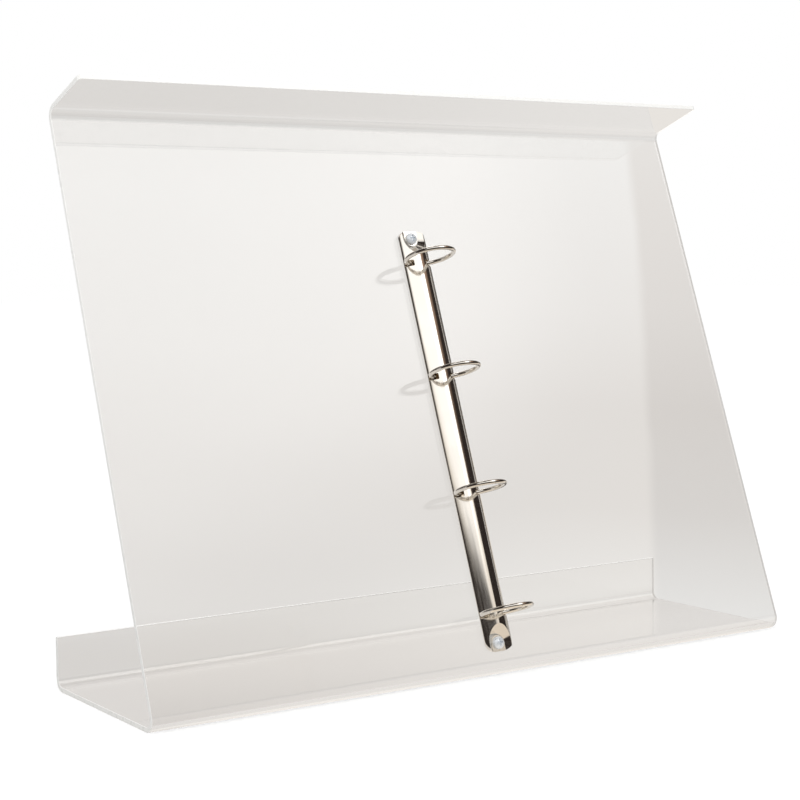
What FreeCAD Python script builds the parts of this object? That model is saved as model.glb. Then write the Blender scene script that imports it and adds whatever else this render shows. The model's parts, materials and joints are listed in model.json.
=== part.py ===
import FreeCAD, Part
import Sketcher
import math
import operator
import os

# Desk stand of one bent acrylic sheet with a four-ring page mechanism on its leaning panel.
# Frame: millimetres, +X to the right, +Y to the rear, +Z up, origin at the middle of the base's underside.
# The mechanism has a frame of its own on the panel: X across, Y up the panel, Z out of its front face.

SIZES = (
    # bent sheet
    ("stand_width", 494.0),
    ("sheet_thickness", 3.0),
    ("bend_radius", 5.0),
    ("base_depth", 139.0),
    ("lip_height", 34.0),
    ("panel_lean", 19.9),
    ("panel_below_cover", 16.5),
    ("panel_above_cover", 79.0),
    ("hood_length", 47.6),
    ("hood_angle", 90.0),
    ("hood_corner", 3.0),
    ("edge_easing", 0.35),
    # rings
    ("ring_count", 4),
    ("ring_pitch", 80.0),
    ("ring_radius", 16.0),
    ("ring_wire", 3.0),
    ("ring_tip_gap", 0.2),
    ("nub_root_radius", 0.55),
    ("nub_tip_radius", 0.35),
    ("nub_length", 0.55),
    ("nub_clearance", 0.12),
    ("foot_reach", 2.75),
    ("foot_leg", 0.5),
    ("foot_bend_inside", 0.2),
    ("stud_shoulder", 0.75),
    ("stud_clearance", 0.02),
    ("rivet_lip", 0.3),
    ("rivet_height", 0.35),
    # cover
    ("cover_width", 21.0),
    ("cover_gauge", 0.7),
    ("cover_shoulder", 0.4),
    ("crown_rise", 4.55),
    ("cover_corner", 7.5),
    ("cover_overhang", 5.5),
    ("curl_lip", 0.35),
    ("seat_clearance", 1.0),
    ("seat_wall_run", 1.23),
    ("slot_side_clearance", 0.6),
    ("slot_end_clearance", 0.35),
    ("slot_above_pivot", 0.65),
    ("slot_corner", 0.8),
    # leaves
    ("leaf_gauge", 0.7),
    ("leaf_clearance", 0.2),
    ("leaf_floor_clearance", 0.1),
    ("leaf_gap", 0.3),
    ("leaf_overhang", 7.5),
    ("leaf_end_clearance", 6.0),
    ("finger_width", 8.0),
    ("finger_reach", 1.8),
    ("finger_clearance", 0.4),
    # fasteners
    ("screw_diameter", 4.0),
    ("screw_protrusion", 2.3),
    ("screw_tip", 0.4),
    ("screw_clearance", 0.25),
    ("head_rim", 2.0),
    ("head_edge", 1.3),
    ("head_dome", 1.8),
    ("recess_span", 4.6),
    ("recess_width", 1.1),
    ("recess_depth", 1.8),
    ("washer_rim", 2.25),
    ("washer_thickness", 0.8),
    ("nut_wall", 1.45),
    ("nut_height", 3.2),
    ("nut_chamfer", 0.45),
    ("thread_clearance", 0.05),
)

doc = FreeCAD.newDocument("DocumentHolder")
sheet = doc.addObject("Spreadsheet::Sheet", "Dimensions")
for row, (alias, number) in enumerate(SIZES, start=1):
    sheet.set(f"A{row}", alias.replace("_", " "))
    sheet.set(f"B{row}", str(number))
    sheet.setAlias(f"B{row}", alias)
worked_out = doc.addObject("App::VarSet", "WorkedOut")
doc.recompute()

SAME_POINT = 1e-6
NEAR = 0.01
ALIGNED = 0.99
RIGHT_ANGLE = 90
FULL_TURN = 360
HALF_FLAT = 30  # degrees from the middle of a hexagon's side to its corner
THROUGH = 4  # cuts are this many walls long, so that they go right through
OPERATIONS = {"+": operator.add, "-": operator.sub, "*": operator.mul, "/": operator.truediv}


class Size:
    """A number together with the sheet expression that gives it."""

    def __init__(self, value, text):
        self.value = value
        self.text = text

    def __add__(self, other):
        return combine(self, "+", other)

    def __radd__(self, other):
        return combine(other, "+", self)

    def __sub__(self, other):
        return combine(self, "-", other)

    def __rsub__(self, other):
        return combine(other, "-", self)

    def __mul__(self, other):
        return combine(self, "*", other)

    def __rmul__(self, other):
        return combine(other, "*", self)

    def __truediv__(self, other):
        return combine(self, "/", other)

    def __neg__(self):
        return combine(0, "-", self)


def as_size(number):
    if isinstance(number, Size):
        return number
    return Size(float(number), f"({float(number)})")


def combine(left, sign, right):
    left = as_size(left)
    right = as_size(right)
    value = OPERATIONS[sign](left.value, right.value)
    return Size(value, f"({left.text} {sign} {right.text})")


def sine(angle):
    return Size(math.sin(math.radians(angle.value)), f"sin({angle.text})")


def cosine(angle):
    return Size(math.cos(math.radians(angle.value)), f"cos({angle.text})")


def arcsine(ratio):
    return Size(math.degrees(math.asin(ratio.value)), f"(asin({ratio.text}) / 1 deg)")


def root(square):
    return Size(math.sqrt(square.value), f"sqrt({square.text})")


def dim(alias):
    return Size(float(sheet.get(alias)), f"Dimensions.{alias}")


def derive(name, size):
    """Keep a size that follows from others under a name of its own."""
    worked_out.addProperty("App::PropertyFloat", name)
    worked_out.setExpression(name, size.text)
    return Size(size.value, f"WorkedOut.{name}")


# Sketches, planes and features

def bind(target, prop, size):
    target.setExpression(prop, as_size(size).text)


def new_body(label):
    body = doc.addObject("PartDesign::Body", label)
    body.Label = label
    return body


def new_sketch(body, role, name, offset=(0, 0, 0), axis=None, angle=0):
    """Sketch on one of the body's own planes, moved by offset and turned by angle about axis.

    Offset and axis are in that plane's own frame.
    """
    plane = next(item for item in body.Origin.OriginFeatures if item.Role == role)
    sketch = body.newObject("Sketcher::SketchObject", f"{body.Label}_{name}")
    sketch.AttachmentSupport = [(plane, "")]
    sketch.MapMode = "FlatFace"
    turn_axis = FreeCAD.Vector(axis) if axis else FreeCAD.Vector(0, 0, 1)
    rotation = FreeCAD.Rotation(turn_axis, as_size(angle).value)
    start = FreeCAD.Vector(*(as_size(value).value for value in offset))
    sketch.AttachmentOffset = FreeCAD.Placement(start, rotation)
    for letter, value in zip("xyz", offset):
        if isinstance(value, Size):
            bind(sketch, f"AttachmentOffset.Base.{letter}", value)
    if isinstance(angle, Size):
        bind(sketch, "AttachmentOffset.Rotation.Angle", angle)
    return sketch


def constrain(sketch, *arguments):
    sketch.addConstraint(Sketcher.Constraint(*arguments))


def measure(sketch, size, kind, *arguments):
    """Dimensional constraint that follows the sheet."""
    index = sketch.addConstraint(Sketcher.Constraint(kind, *arguments, as_size(size).value))
    bind(sketch, f"Constraints[{index}]", size)


def measure_angle(sketch, degrees, *arguments):
    index = sketch.addConstraint(Sketcher.Constraint("Angle", *arguments, math.radians(degrees.value)))
    bind(sketch, f"Constraints[{index}]", degrees)


def pin(sketch, geometry, point, x, y):
    """Hold one point of the sketch at x, y."""
    for kind, axis, coordinate in (("DistanceX", -2, as_size(x)), ("DistanceY", -1, as_size(y))):
        if coordinate.value == 0:
            constrain(sketch, "PointOnObject", geometry, point, axis)
        else:
            measure(sketch, coordinate, kind, geometry, point)


def vector(x, y):
    return FreeCAD.Vector(as_size(x).value, as_size(y).value, 0)


def short_arc(start, end, center):
    """Arc geometry the short way round, and the point numbers of its start and end."""
    radius = (start - center).Length
    whole = Part.Circle(center, FreeCAD.Vector(0, 0, 1), radius)
    first = math.atan2(start.y - center.y, start.x - center.x)
    last = math.atan2(end.y - center.y, end.x - center.x)
    if (last - first) % (2 * math.pi) < math.pi:
        return Part.ArcOfCircle(whole, first, last), 1, 2
    return Part.ArcOfCircle(whole, last, first), 2, 1


def outline(sketch, start, *steps):
    """Closed outline: a step is x, y for a straight run, or x, y, center x, center y, radius for an arc.

    Where the last step doesn't come back to the start, a straight run closes the outline.
    """
    runs = []
    here = vector(*start)
    if not vector(*steps[-1][:2]).isEqual(here, SAME_POINT):
        steps += (start,)
    for x, y, *arc in steps:
        there = vector(x, y)
        if arc:
            center_x, center_y, radius = arc
            geometry, first, last = short_arc(here, there, vector(center_x, center_y))
            index = sketch.addGeometry(geometry, False)
            measure(sketch, radius, "Radius", index)
        else:
            first, last = 1, 2
            index = sketch.addGeometry(Part.LineSegment(here, there), False)
        runs.append((index, first, last))
        here = there
    for (index, _, last), (following, begin, _), step in zip(runs, runs[1:] + runs[:1], steps):
        constrain(sketch, "Coincident", index, last, following, begin)
        pin(sketch, index, last, step[0], step[1])


def circle(sketch, x, y, diameter):
    round_line = Part.Circle(vector(x, y), FreeCAD.Vector(0, 0, 1), diameter.value / 2)
    index = sketch.addGeometry(round_line, False)
    measure(sketch, diameter, "Diameter", index)
    pin(sketch, index, 3, x, y)


def extrude(body, kind, sketch, length, symmetric=False, reverse=False):
    """Pad or Pocket of a sketch."""
    feature = body.newObject(f"PartDesign::{kind}", f"{sketch.Name}_{kind}")
    feature.Profile = sketch
    feature.Length = as_size(length).value
    bind(feature, "Length", length)
    feature.SideType = "Symmetric" if symmetric else "One side"
    feature.Reversed = reverse
    return feature


def turn(body, kind, sketch, axis="V_Axis"):
    """Full Revolution or Groove of a sketch about one of its own axes, the upright one if none is named."""
    feature = body.newObject(f"PartDesign::{kind}", f"{sketch.Name}_{kind}")
    feature.Profile = sketch
    feature.ReferenceAxis = (sketch, [axis])
    feature.Angle = FULL_TURN
    return feature


def round_edges(body, base, name, radius, wanted):
    """Fillet on the edges of the base feature that wanted picks."""
    doc.recompute()
    names = [f"Edge{number}" for number, edge in enumerate(base.Shape.Edges, start=1) if wanted(edge)]
    fillet = body.newObject("PartDesign::Fillet", f"{body.Label}_{name}")
    fillet.Base = (base, names)
    fillet.Radius = radius.value
    bind(fillet, "Radius", radius)
    doc.recompute()
    return fillet


def is_straight(edge):
    return isinstance(edge.Curve, (Part.Line, Part.LineSegment))


# Sizes that follow from others: the rings set the leaves, these the screws,
# and these the cover and the panel

LEAN = dim("panel_lean")
HALF_BASE = dim("base_depth") / 2
GAUGE = dim("cover_gauge")
LEAF = dim("leaf_gauge")
SCREW_HOLE = derive("screw_hole", dim("screw_diameter") + 2 * dim("screw_clearance"))
HEAD_DIAMETER = derive("head_diameter", dim("screw_diameter") + 2 * dim("head_rim"))
SEAT_RADIUS = derive("seat_radius", HEAD_DIAMETER / 2 + dim("seat_clearance"))
RING_SPAN = derive("ring_span", (dim("ring_count") - 1) * dim("ring_pitch"))
LEAF_LENGTH = derive("leaf_length", RING_SPAN + 2 * dim("leaf_overhang"))
SCREW_SPAN = derive("screw_span", LEAF_LENGTH + 2 * (dim("leaf_end_clearance") + SEAT_RADIUS))
COVER_LENGTH = derive("cover_length", SCREW_SPAN + 2 * dim("cover_overhang"))
PANEL_LENGTH = derive("panel_length", dim("panel_below_cover") + COVER_LENGTH + dim("panel_above_cover"))
MIDDLE = derive("mechanism_middle", dim("panel_below_cover") + COVER_LENGTH / 2)
SEATS = {"upper": MIDDLE + SCREW_SPAN / 2, "lower": MIDDLE - SCREW_SPAN / 2}

# The leaves turn in the cover's curled rims, and lean so that their fingers just clear the panel
HALF_COVER = derive("half_cover", dim("cover_width") / 2)
CURL = derive("curl_radius", LEAF / 2 + dim("leaf_clearance"))
PIVOT_X = derive("pivot_x", HALF_COVER - GAUGE - CURL)
PIVOT_Z = derive("pivot_z", GAUGE + CURL)
LEAF_REACH = derive("leaf_reach", PIVOT_X - dim("leaf_gap") / 2)
LEAF_FALL = PIVOT_Z - LEAF / 2 - dim("leaf_floor_clearance")
TILT = derive("leaf_tilt", arcsine(LEAF_FALL / (LEAF_REACH + dim("finger_reach"))))
FOOT_X = derive("foot_x", PIVOT_X - dim("foot_reach") * cosine(TILT))
FOOT_Z = derive("foot_z", PIVOT_Z - dim("foot_reach") * sine(TILT))

# Arched crown between the two upright shoulders
COVER_WALL = derive("cover_wall", PIVOT_Z + dim("cover_shoulder"))
COVER_HEIGHT = derive("cover_height", COVER_WALL + dim("crown_rise"))
CROWN_SQUARES = HALF_COVER * HALF_COVER + dim("crown_rise") * dim("crown_rise")
CROWN_RADIUS = derive("crown_radius", CROWN_SQUARES / (2 * dim("crown_rise")))
CROWN_CENTER = derive("crown_center", COVER_HEIGHT - CROWN_RADIUS)


# Where things are on the panel

def panel_point(along, out):
    """Y and Z of a point along the panel from its front bottom edge and out of its front face."""
    y = along * sine(LEAN) - out * cosine(LEAN) - HALF_BASE
    z = along * cosine(LEAN) + out * sine(LEAN)
    return y, z


def place_on_panel(body, along, out=0):
    """Set a body in the mechanism's frame: its Y up the panel and its Z out of the front face."""
    y, z = panel_point(as_size(along), as_size(out))
    tilt = RIGHT_ANGLE - LEAN
    body.Placement = FreeCAD.Placement(
        FreeCAD.Vector(0, y.value, z.value), FreeCAD.Rotation(FreeCAD.Vector(1, 0, 0), tilt.value)
    )
    bind(body, "Placement.Base.y", y)
    bind(body, "Placement.Base.z", z)
    bind(body, "Placement.Rotation.Angle", tilt)


# Bent acrylic sheet

def make_stand():
    body = new_body("acrylic_stand")
    thickness = dim("sheet_thickness")
    depth, lip, length, hood = dim("base_depth"), dim("lip_height"), PANEL_LENGTH, dim("hood_length")
    rise = RIGHT_ANGLE - LEAN
    hood_rise = rise + dim("hood_angle")

    # Corners of the folded strip with sharp bends, walked from the front bottom edge
    up = FreeCAD.Vector(cosine(rise).value, sine(rise).value, 0)
    forward = FreeCAD.Vector(cosine(hood_rise).value, sine(hood_rise).value, 0)
    back_normal = FreeCAD.Vector(up.y, -up.x, 0) * thickness.value
    over_normal = FreeCAD.Vector(forward.y, -forward.x, 0) * thickness.value
    front = vector(-HALF_BASE, 0)
    rear = vector(HALF_BASE, 0)
    lip_top = rear + vector(0, lip)
    lip_inner = lip_top - vector(thickness, 0)
    rear_inner = vector(HALF_BASE - thickness, thickness)
    inner_reach = (thickness.value - back_normal.y) / up.y
    front_inner = front + back_normal + up * inner_reach
    under_hood = front + up * length.value
    half_fold = math.radians(dim("hood_angle").value / 2)
    over_bend = under_hood + back_normal + up * (thickness.value / math.tan(half_fold))
    tip_under = under_hood + forward * hood.value
    tip_over = tip_under + over_normal

    sketch = new_sketch(body, "YZ_Plane", "profile")
    corners = (
        front, rear, lip_top, lip_inner, rear_inner,
        front_inner, over_bend, tip_over, tip_under, under_hood,
    )
    for here, there in zip(corners, corners[1:]):
        sketch.addGeometry(Part.LineSegment(here, there), False)
    base, lip_rear, lip_end, lip_front, floor, panel_rear, hood_top, hood_end, hood_under = range(9)
    panel_front = sketch.addGeometry(Part.LineSegment(front, under_hood), False)
    for line in range(8):
        constrain(sketch, "Coincident", line, 2, line + 1, 1)
    constrain(sketch, "Coincident", hood_under, 2, panel_front, 2)
    constrain(sketch, "Coincident", panel_front, 1, base, 1)
    for line in (lip_end, floor, base):
        constrain(sketch, "Horizontal", line)
    for line in (lip_rear, lip_front):
        constrain(sketch, "Vertical", line)
    constrain(sketch, "Symmetric", base, 1, base, 2, -1, 1)
    constrain(sketch, "Parallel", panel_rear, panel_front)
    constrain(sketch, "Parallel", hood_top, hood_under)
    constrain(sketch, "Perpendicular", hood_end, hood_under)
    measure(sketch, depth, "Distance", base)
    measure(sketch, lip, "Distance", lip_rear)
    measure(sketch, length, "Distance", panel_front)
    measure(sketch, hood, "Distance", hood_under)
    measure(sketch, thickness, "Distance", lip_end)
    measure(sketch, thickness, "Distance", hood_end)
    measure(sketch, thickness, "Distance", floor, 1, base)
    measure(sketch, thickness, "Distance", panel_rear, 1, panel_front)
    measure_angle(sketch, rise, panel_front)
    measure_angle(sketch, hood_rise - 2 * RIGHT_ANGLE, hood_under)
    pad = extrude(body, "Pad", sketch, dim("stand_width"), symmetric=True)

    def near_any(edge, points):
        middle = edge.CenterOfMass
        return any(math.hypot(middle.y - point.x, middle.z - point.y) < NEAR for point in points)

    def along_bend(*points):
        def wanted(edge):
            across = is_straight(edge) and abs(edge.tangentAt(edge.FirstParameter).x) > ALIGNED
            return across and near_any(edge, points)
        return wanted

    def at_hood_corner(edge):
        return is_straight(edge) and near_any(edge, [(tip_under + tip_over) / 2])

    def on_cut_edge(edge):
        """Every edge round the two side faces, the lip's top and the hood's front."""
        box = edge.BoundBox
        side = abs(max(abs(box.XMin), abs(box.XMax)) - dim("stand_width").value / 2) < NEAR
        flat_side = side and box.XLength < NEAR
        return flat_side or near_any(edge, [lip_top, lip_inner, tip_under, tip_over])

    inner_radius = dim("bend_radius")
    outer_radius = inner_radius + thickness
    inside_lines = along_bend(rear_inner, front_inner, under_hood)
    outside_lines = along_bend(front, rear, over_bend)
    inner = round_edges(body, pad, "inner_bends", inner_radius, inside_lines)
    outer = round_edges(body, inner, "outer_bends", outer_radius, outside_lines)
    corner = round_edges(body, outer, "hood_corners", dim("hood_corner"), at_hood_corner)
    eased = round_edges(body, corner, "eased_edges", dim("edge_easing"), on_cut_edge)

    y, z = panel_point(MIDDLE, as_size(0))
    holes = new_sketch(body, "XY_Plane", "screw_holes", (0, y, z), (1, 0, 0), rise)
    for offset in (SCREW_SPAN / 2, -SCREW_SPAN / 2):
        circle(holes, 0, offset, SCREW_HOLE)
    drilled = extrude(body, "Pocket", holes, THROUGH * thickness, symmetric=True)
    doc.recompute()
    if not drilled.Shape.Volume < eased.Shape.Volume:
        raise RuntimeError("The screw holes miss the panel")
    return body


# Pressed cover of the mechanism; its hollow starts one gauge below the panel's face, to cut clean through

def outside_of(sketch, half_width, floor, height):
    """Frame round the section, wide enough to trim the whole block."""
    outline(
        sketch,
        (-half_width - GAUGE, floor - GAUGE),
        (half_width + GAUGE, floor - GAUGE),
        (half_width + GAUGE, height + GAUGE),
        (-half_width - GAUGE, height + GAUGE),
    )


def outer_section(sketch):
    outline(
        sketch,
        (-PIVOT_X, 0),
        (PIVOT_X, 0),
        (HALF_COVER, PIVOT_Z, PIVOT_X, PIVOT_Z, PIVOT_Z),
        (HALF_COVER, COVER_WALL),
        (-HALF_COVER, COVER_WALL, 0, CROWN_CENTER, CROWN_RADIUS),
        (-HALF_COVER, PIVOT_Z),
        (-PIVOT_X, 0, -PIVOT_X, PIVOT_Z, PIVOT_Z),
    )


def inner_section(sketch):
    """Hollow of the cover: open below between the curled lips, round where the leaves pivot, arched above."""
    half = HALF_COVER - GAUGE
    radius = CROWN_RADIUS - GAUGE
    wall = CROWN_CENTER + root(radius * radius - half * half)
    lip = PIVOT_X - dim("curl_lip")
    outline(
        sketch,
        (-lip, -GAUGE),
        (lip, -GAUGE),
        (lip, GAUGE),
        (PIVOT_X, GAUGE),
        (half, PIVOT_Z, PIVOT_X, PIVOT_Z, CURL),
        (half, wall),
        (-half, wall, 0, CROWN_CENTER, radius),
        (-half, PIVOT_Z),
        (-PIVOT_X, GAUGE, -PIVOT_X, PIVOT_Z, CURL),
        (-lip, GAUGE),
    )


def arched_block(label, inset, floor, section):
    """Block with rounded corners, trimmed to the arched section."""
    body = new_body(label)
    half_width = HALF_COVER - inset
    half_length = COVER_LENGTH / 2 - inset
    height = COVER_HEIGHT - inset
    plan = new_sketch(body, "XY_Plane", "plan", (0, 0, floor))
    outline(
        plan,
        (-half_width, -half_length),
        (half_width, -half_length),
        (half_width, half_length),
        (-half_width, half_length),
    )
    block = extrude(body, "Pad", plan, height - floor)

    def upright(edge):
        return is_straight(edge) and abs(edge.tangentAt(edge.FirstParameter).z) > ALIGNED

    round_edges(body, block, "plan_corners", dim("cover_corner") - inset, upright)
    trim = new_sketch(body, "XZ_Plane", "section")
    outside_of(trim, half_width, floor, height)
    section(trim)
    extrude(body, "Pocket", trim, 2 * COVER_LENGTH, symmetric=True)
    doc.recompute()
    return body


def press_seats(body, floor, growth):
    """Conical hollow round each screw, carried on to the cover's end as a tapered channel."""
    top = COVER_HEIGHT + GAUGE
    run = dim("seat_wall_run")
    low = SEAT_RADIUS + growth + (floor - GAUGE) * run
    high = SEAT_RADIUS + growth + (top - GAUGE) * run
    for name, side in (("upper", 1), ("lower", -1)):
        place = (0, 0, -side * SCREW_SPAN / 2)
        cone = new_sketch(body, "XZ_Plane", f"{name}_cone", place)
        outline(cone, (0, floor), (low, floor), (high, top), (0, top))
        turn(body, "Groove", cone)
        channel = new_sketch(body, "XZ_Plane", f"{name}_channel", place)
        outline(channel, (-low, floor), (low, floor), (high, top), (-high, top))
        extrude(body, "Pocket", channel, COVER_LENGTH - SCREW_SPAN, reverse=side < 0)
        doc.recompute()


def cut_slots(body):
    """Slot in each shoulder for every ring, open at the rim."""
    inner = FOOT_X - dim("ring_wire") / 2 - dim("slot_end_clearance")
    outer = HALF_COVER + GAUGE
    corner = dim("slot_corner")
    half = dim("ring_wire") / 2 + dim("slot_side_clearance")
    first = -RING_SPAN / 2
    sketch = new_sketch(body, "XY_Plane", "slots", (0, 0, PIVOT_Z + dim("slot_above_pivot")))
    for side in (-1, 1):
        outline(
            sketch,
            (side * outer, first - half),
            (side * outer, first + half),
            (side * (inner + corner), first + half),
            (side * inner, first + half - corner, side * (inner + corner), first + half - corner, corner),
            (side * inner, first - half + corner),
            (side * (inner + corner), first - half, side * (inner + corner), first - half + corner, corner),
        )
    slots = extrude(body, "Pocket", sketch, COVER_HEIGHT, reverse=True)
    doc.recompute()
    pattern = body.newObject("PartDesign::LinearPattern", f"{body.Label}_ring_slots")
    pattern.Originals = [slots]
    axis = next(item for item in body.Origin.OriginFeatures if item.Role == "Y_Axis")
    pattern.Direction = (axis, [""])
    pattern.Occurrences = int(dim("ring_count").value)
    bind(pattern, "Occurrences", dim("ring_count"))
    bind(pattern, "Length", RING_SPAN)
    body.Tip = pattern
    doc.recompute()


def make_cover():
    slope = root(1 + dim("seat_wall_run") * dim("seat_wall_run"))
    form = arched_block("cover_form", as_size(0), as_size(0), outer_section)
    press_seats(form, GAUGE, as_size(0))
    cut_slots(form)
    holes = new_sketch(form, "XY_Plane", "screw_holes")
    for offset in (SCREW_SPAN / 2, -SCREW_SPAN / 2):
        circle(holes, 0, offset, SCREW_HOLE)
    extrude(form, "Pocket", holes, THROUGH * GAUGE, symmetric=True)
    hollow = arched_block("cover_hollow", GAUGE, -GAUGE, inner_section)
    press_seats(hollow, -GAUGE, GAUGE * slope)
    for body in (form, hollow):
        place_on_panel(body, MIDDLE)
    cover = doc.addObject("Part::Cut", "cover_plate")
    cover.Label = "cover_plate"
    cover.Base = form
    cover.Tool = hollow
    return cover


# Leaves and half rings: side is -1 on the left and 1 on the right

STUD = derive("stud_diameter", dim("ring_wire") - 2 * dim("stud_shoulder"))


def ring_places():
    return [number * dim("ring_pitch") - RING_SPAN / 2 for number in range(int(dim("ring_count").value))]


def finger_places():
    """Middle of each stretch between two rings."""
    places = ring_places()
    return [(here + there) / 2 for here, there in zip(places, places[1:])]


def make_leaf(label, side, tab_places, notch_places):
    body = new_body(label)
    half = LEAF / 2
    reach = LEAF_REACH
    section = new_sketch(body, "XZ_Plane", "section", (side * PIVOT_X, PIVOT_Z, 0), (0, 0, 1), side * TILT)
    outline(
        section,
        (0, -half),
        (-side * reach, -half),
        (-side * reach, half),
        (0, half),
        (side * half, 0, 0, 0, half),
        (0, -half, 0, 0, half),
    )
    extrude(body, "Pad", section, LEAF_LENGTH, symmetric=True)
    doc.recompute()

    def on_leaf(name):
        return new_sketch(body, "XY_Plane", name, (side * PIVOT_X, 0, PIVOT_Z), (0, 1, 0), -side * TILT)

    def patches(name, places, near, far, width):
        sketch = on_leaf(name)
        for place in places:
            outline(
                sketch,
                (-side * near, place - width / 2),
                (-side * far, place - width / 2),
                (-side * far, place + width / 2),
                (-side * near, place + width / 2),
            )
        return sketch

    if tab_places:
        tabs = patches("tabs", tab_places, reach - LEAF, reach + dim("finger_reach"), dim("finger_width"))
        extrude(body, "Pad", tabs, LEAF, symmetric=True)
        doc.recompute()
    if notch_places:
        depth = dim("finger_reach") - dim("leaf_gap") + dim("finger_clearance")
        width = dim("finger_width") + 2 * dim("finger_clearance")
        notches = patches("notches", notch_places, reach - depth, reach + LEAF, width)
        extrude(body, "Pocket", notches, THROUGH * LEAF, symmetric=True)
        doc.recompute()
    studs = on_leaf("stud_holes")
    for place in ring_places():
        circle(studs, -side * dim("foot_reach"), place, STUD + 2 * dim("stud_clearance"))
    extrude(body, "Pocket", studs, THROUGH * LEAF, symmetric=True)
    place_on_panel(body, MIDDLE)
    return body


def make_ring_half(label, side, along):
    body = new_body(label)
    radius, wire = dim("ring_radius"), dim("ring_wire")
    bend = wire / 2 + dim("foot_bend_inside")
    center_x = side * dim("ring_tip_gap") / 2
    foot_x = side * (FOOT_X - LEAF / 2 * sine(TILT))
    foot_z = FOOT_Z + LEAF / 2 * cosine(TILT)

    # Line of the wire: down round the ring, a short bend the other way, and straight on to the leaf
    leg_x = foot_x - side * dim("foot_leg") * sine(TILT)
    leg_z = foot_z + dim("foot_leg") * cosine(TILT)
    bend_x = leg_x + side * bend * cosine(TILT)
    bend_z = leg_z + bend * sine(TILT)
    span = radius + bend
    offset = bend_x - center_x
    center_z = bend_z + root(span * span - offset * offset)
    foot, leg_top = vector(foot_x, foot_z), vector(leg_x, leg_z)
    center, bend_center = vector(center_x, center_z), vector(bend_x, bend_z)
    meeting = center + (bend_center - center) * (radius.value / span.value)
    tip = center + vector(0, radius)

    spine = new_sketch(body, "XZ_Plane", "wire_line")
    ring_arc, ring_first, ring_last = short_arc(tip, meeting, center)
    ring = spine.addGeometry(ring_arc, False)
    bend_arc, bend_first, bend_last = short_arc(meeting, leg_top, bend_center)
    elbow = spine.addGeometry(bend_arc, False)
    shank = spine.addGeometry(Part.LineSegment(leg_top, foot), False)
    constrain(spine, "Tangent", ring, ring_last, elbow, bend_first)
    constrain(spine, "Tangent", elbow, bend_last, shank, 1)
    measure(spine, radius, "Radius", ring)
    measure(spine, bend, "Radius", elbow)
    pin(spine, ring, 3, center_x, center_z)
    measure(spine, center_x, "DistanceX", ring, ring_first)
    pin(spine, shank, 2, foot_x, foot_z)
    measure_angle(spine, side * TILT - RIGHT_ANGLE, shank)

    profile = new_sketch(body, "YZ_Plane", "wire_round", (0, 0, center_x))
    circle(profile, 0, center_z + radius, wire)
    pipe = body.newObject("PartDesign::AdditivePipe", f"{label}_wire")
    pipe.Profile = profile
    pipe.Spine = (spine, ["Edge1", "Edge2", "Edge3"])
    doc.recompute()

    # The left tip's nub sits in the right tip's dimple when the ring is closed
    lock = new_sketch(body, "XZ_Plane", "tip_lock", (0, center_z + radius, 0))
    room = as_size(0) if side < 0 else dim("nub_clearance")
    root_x = -dim("ring_tip_gap") / 2
    end_x = root_x + dim("nub_length") + room
    inside_x = root_x - dim("nub_length")
    root_radius = dim("nub_root_radius") + room
    end_radius = dim("nub_tip_radius") + room
    outline(
        lock,
        (inside_x, 0),
        (end_x, 0),
        (end_x, end_radius),
        (root_x, root_radius),
        (inside_x, root_radius),
    )
    turn(body, "Revolution" if side < 0 else "Groove", lock, "H_Axis")
    doc.recompute()

    def below_leaf(name, depth):
        x = foot_x + side * depth * sine(TILT)
        z = foot_z - depth * cosine(TILT)
        return new_sketch(body, "XY_Plane", name, (x, 0, z), (0, 1, 0), -side * TILT)

    stud = below_leaf("stud", as_size(0))
    circle(stud, 0, 0, STUD)
    extrude(body, "Pad", stud, LEAF + dim("rivet_height"), reverse=True)
    doc.recompute()
    rivet = below_leaf("rivet", LEAF)
    circle(rivet, 0, 0, STUD + 2 * dim("rivet_lip"))
    extrude(body, "Pad", rivet, dim("rivet_height"), reverse=True)
    place_on_panel(body, MIDDLE + along)
    return body


# Fasteners

def make_screw(label, along):
    body = new_body(label)
    shank, head = dim("screw_diameter") / 2, HEAD_DIAMETER / 2
    edge, dome, tip = dim("head_edge"), dim("head_dome"), dim("screw_tip")
    height = edge + dome
    grip = GAUGE + dim("sheet_thickness") + dim("washer_thickness") + dim("nut_height")
    end = -grip - dim("screw_protrusion")
    dome_radius = (head * head + dome * dome) / (2 * dome)
    profile = new_sketch(body, "XZ_Plane", "profile")
    outline(
        profile,
        (0, end),
        (shank - tip, end),
        (shank, end + tip),
        (shank, 0),
        (head, 0),
        (head, edge),
        (0, height, 0, height - dome_radius, dome_radius),
    )
    turn(body, "Revolution", profile)
    doc.recompute()
    recess = new_sketch(body, "XY_Plane", "recess", (0, 0, height))
    arm, half = dim("recess_span") / 2, dim("recess_width") / 2
    outline(
        recess,
        (arm, -half), (arm, half), (half, half), (half, arm), (-half, arm), (-half, half),
        (-arm, half), (-arm, -half), (-half, -half), (-half, -arm), (half, -arm), (half, -half),
    )
    extrude(body, "Pocket", recess, dim("recess_depth"))
    place_on_panel(body, along, GAUGE)
    return body


def make_washer(label, along):
    body = new_body(label)
    ring = new_sketch(body, "XY_Plane", "ring")
    circle(ring, 0, 0, SCREW_HOLE + 2 * dim("washer_rim"))
    circle(ring, 0, 0, SCREW_HOLE)
    extrude(body, "Pad", ring, dim("washer_thickness"), reverse=True)
    place_on_panel(body, along, -dim("sheet_thickness"))
    return body


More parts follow.
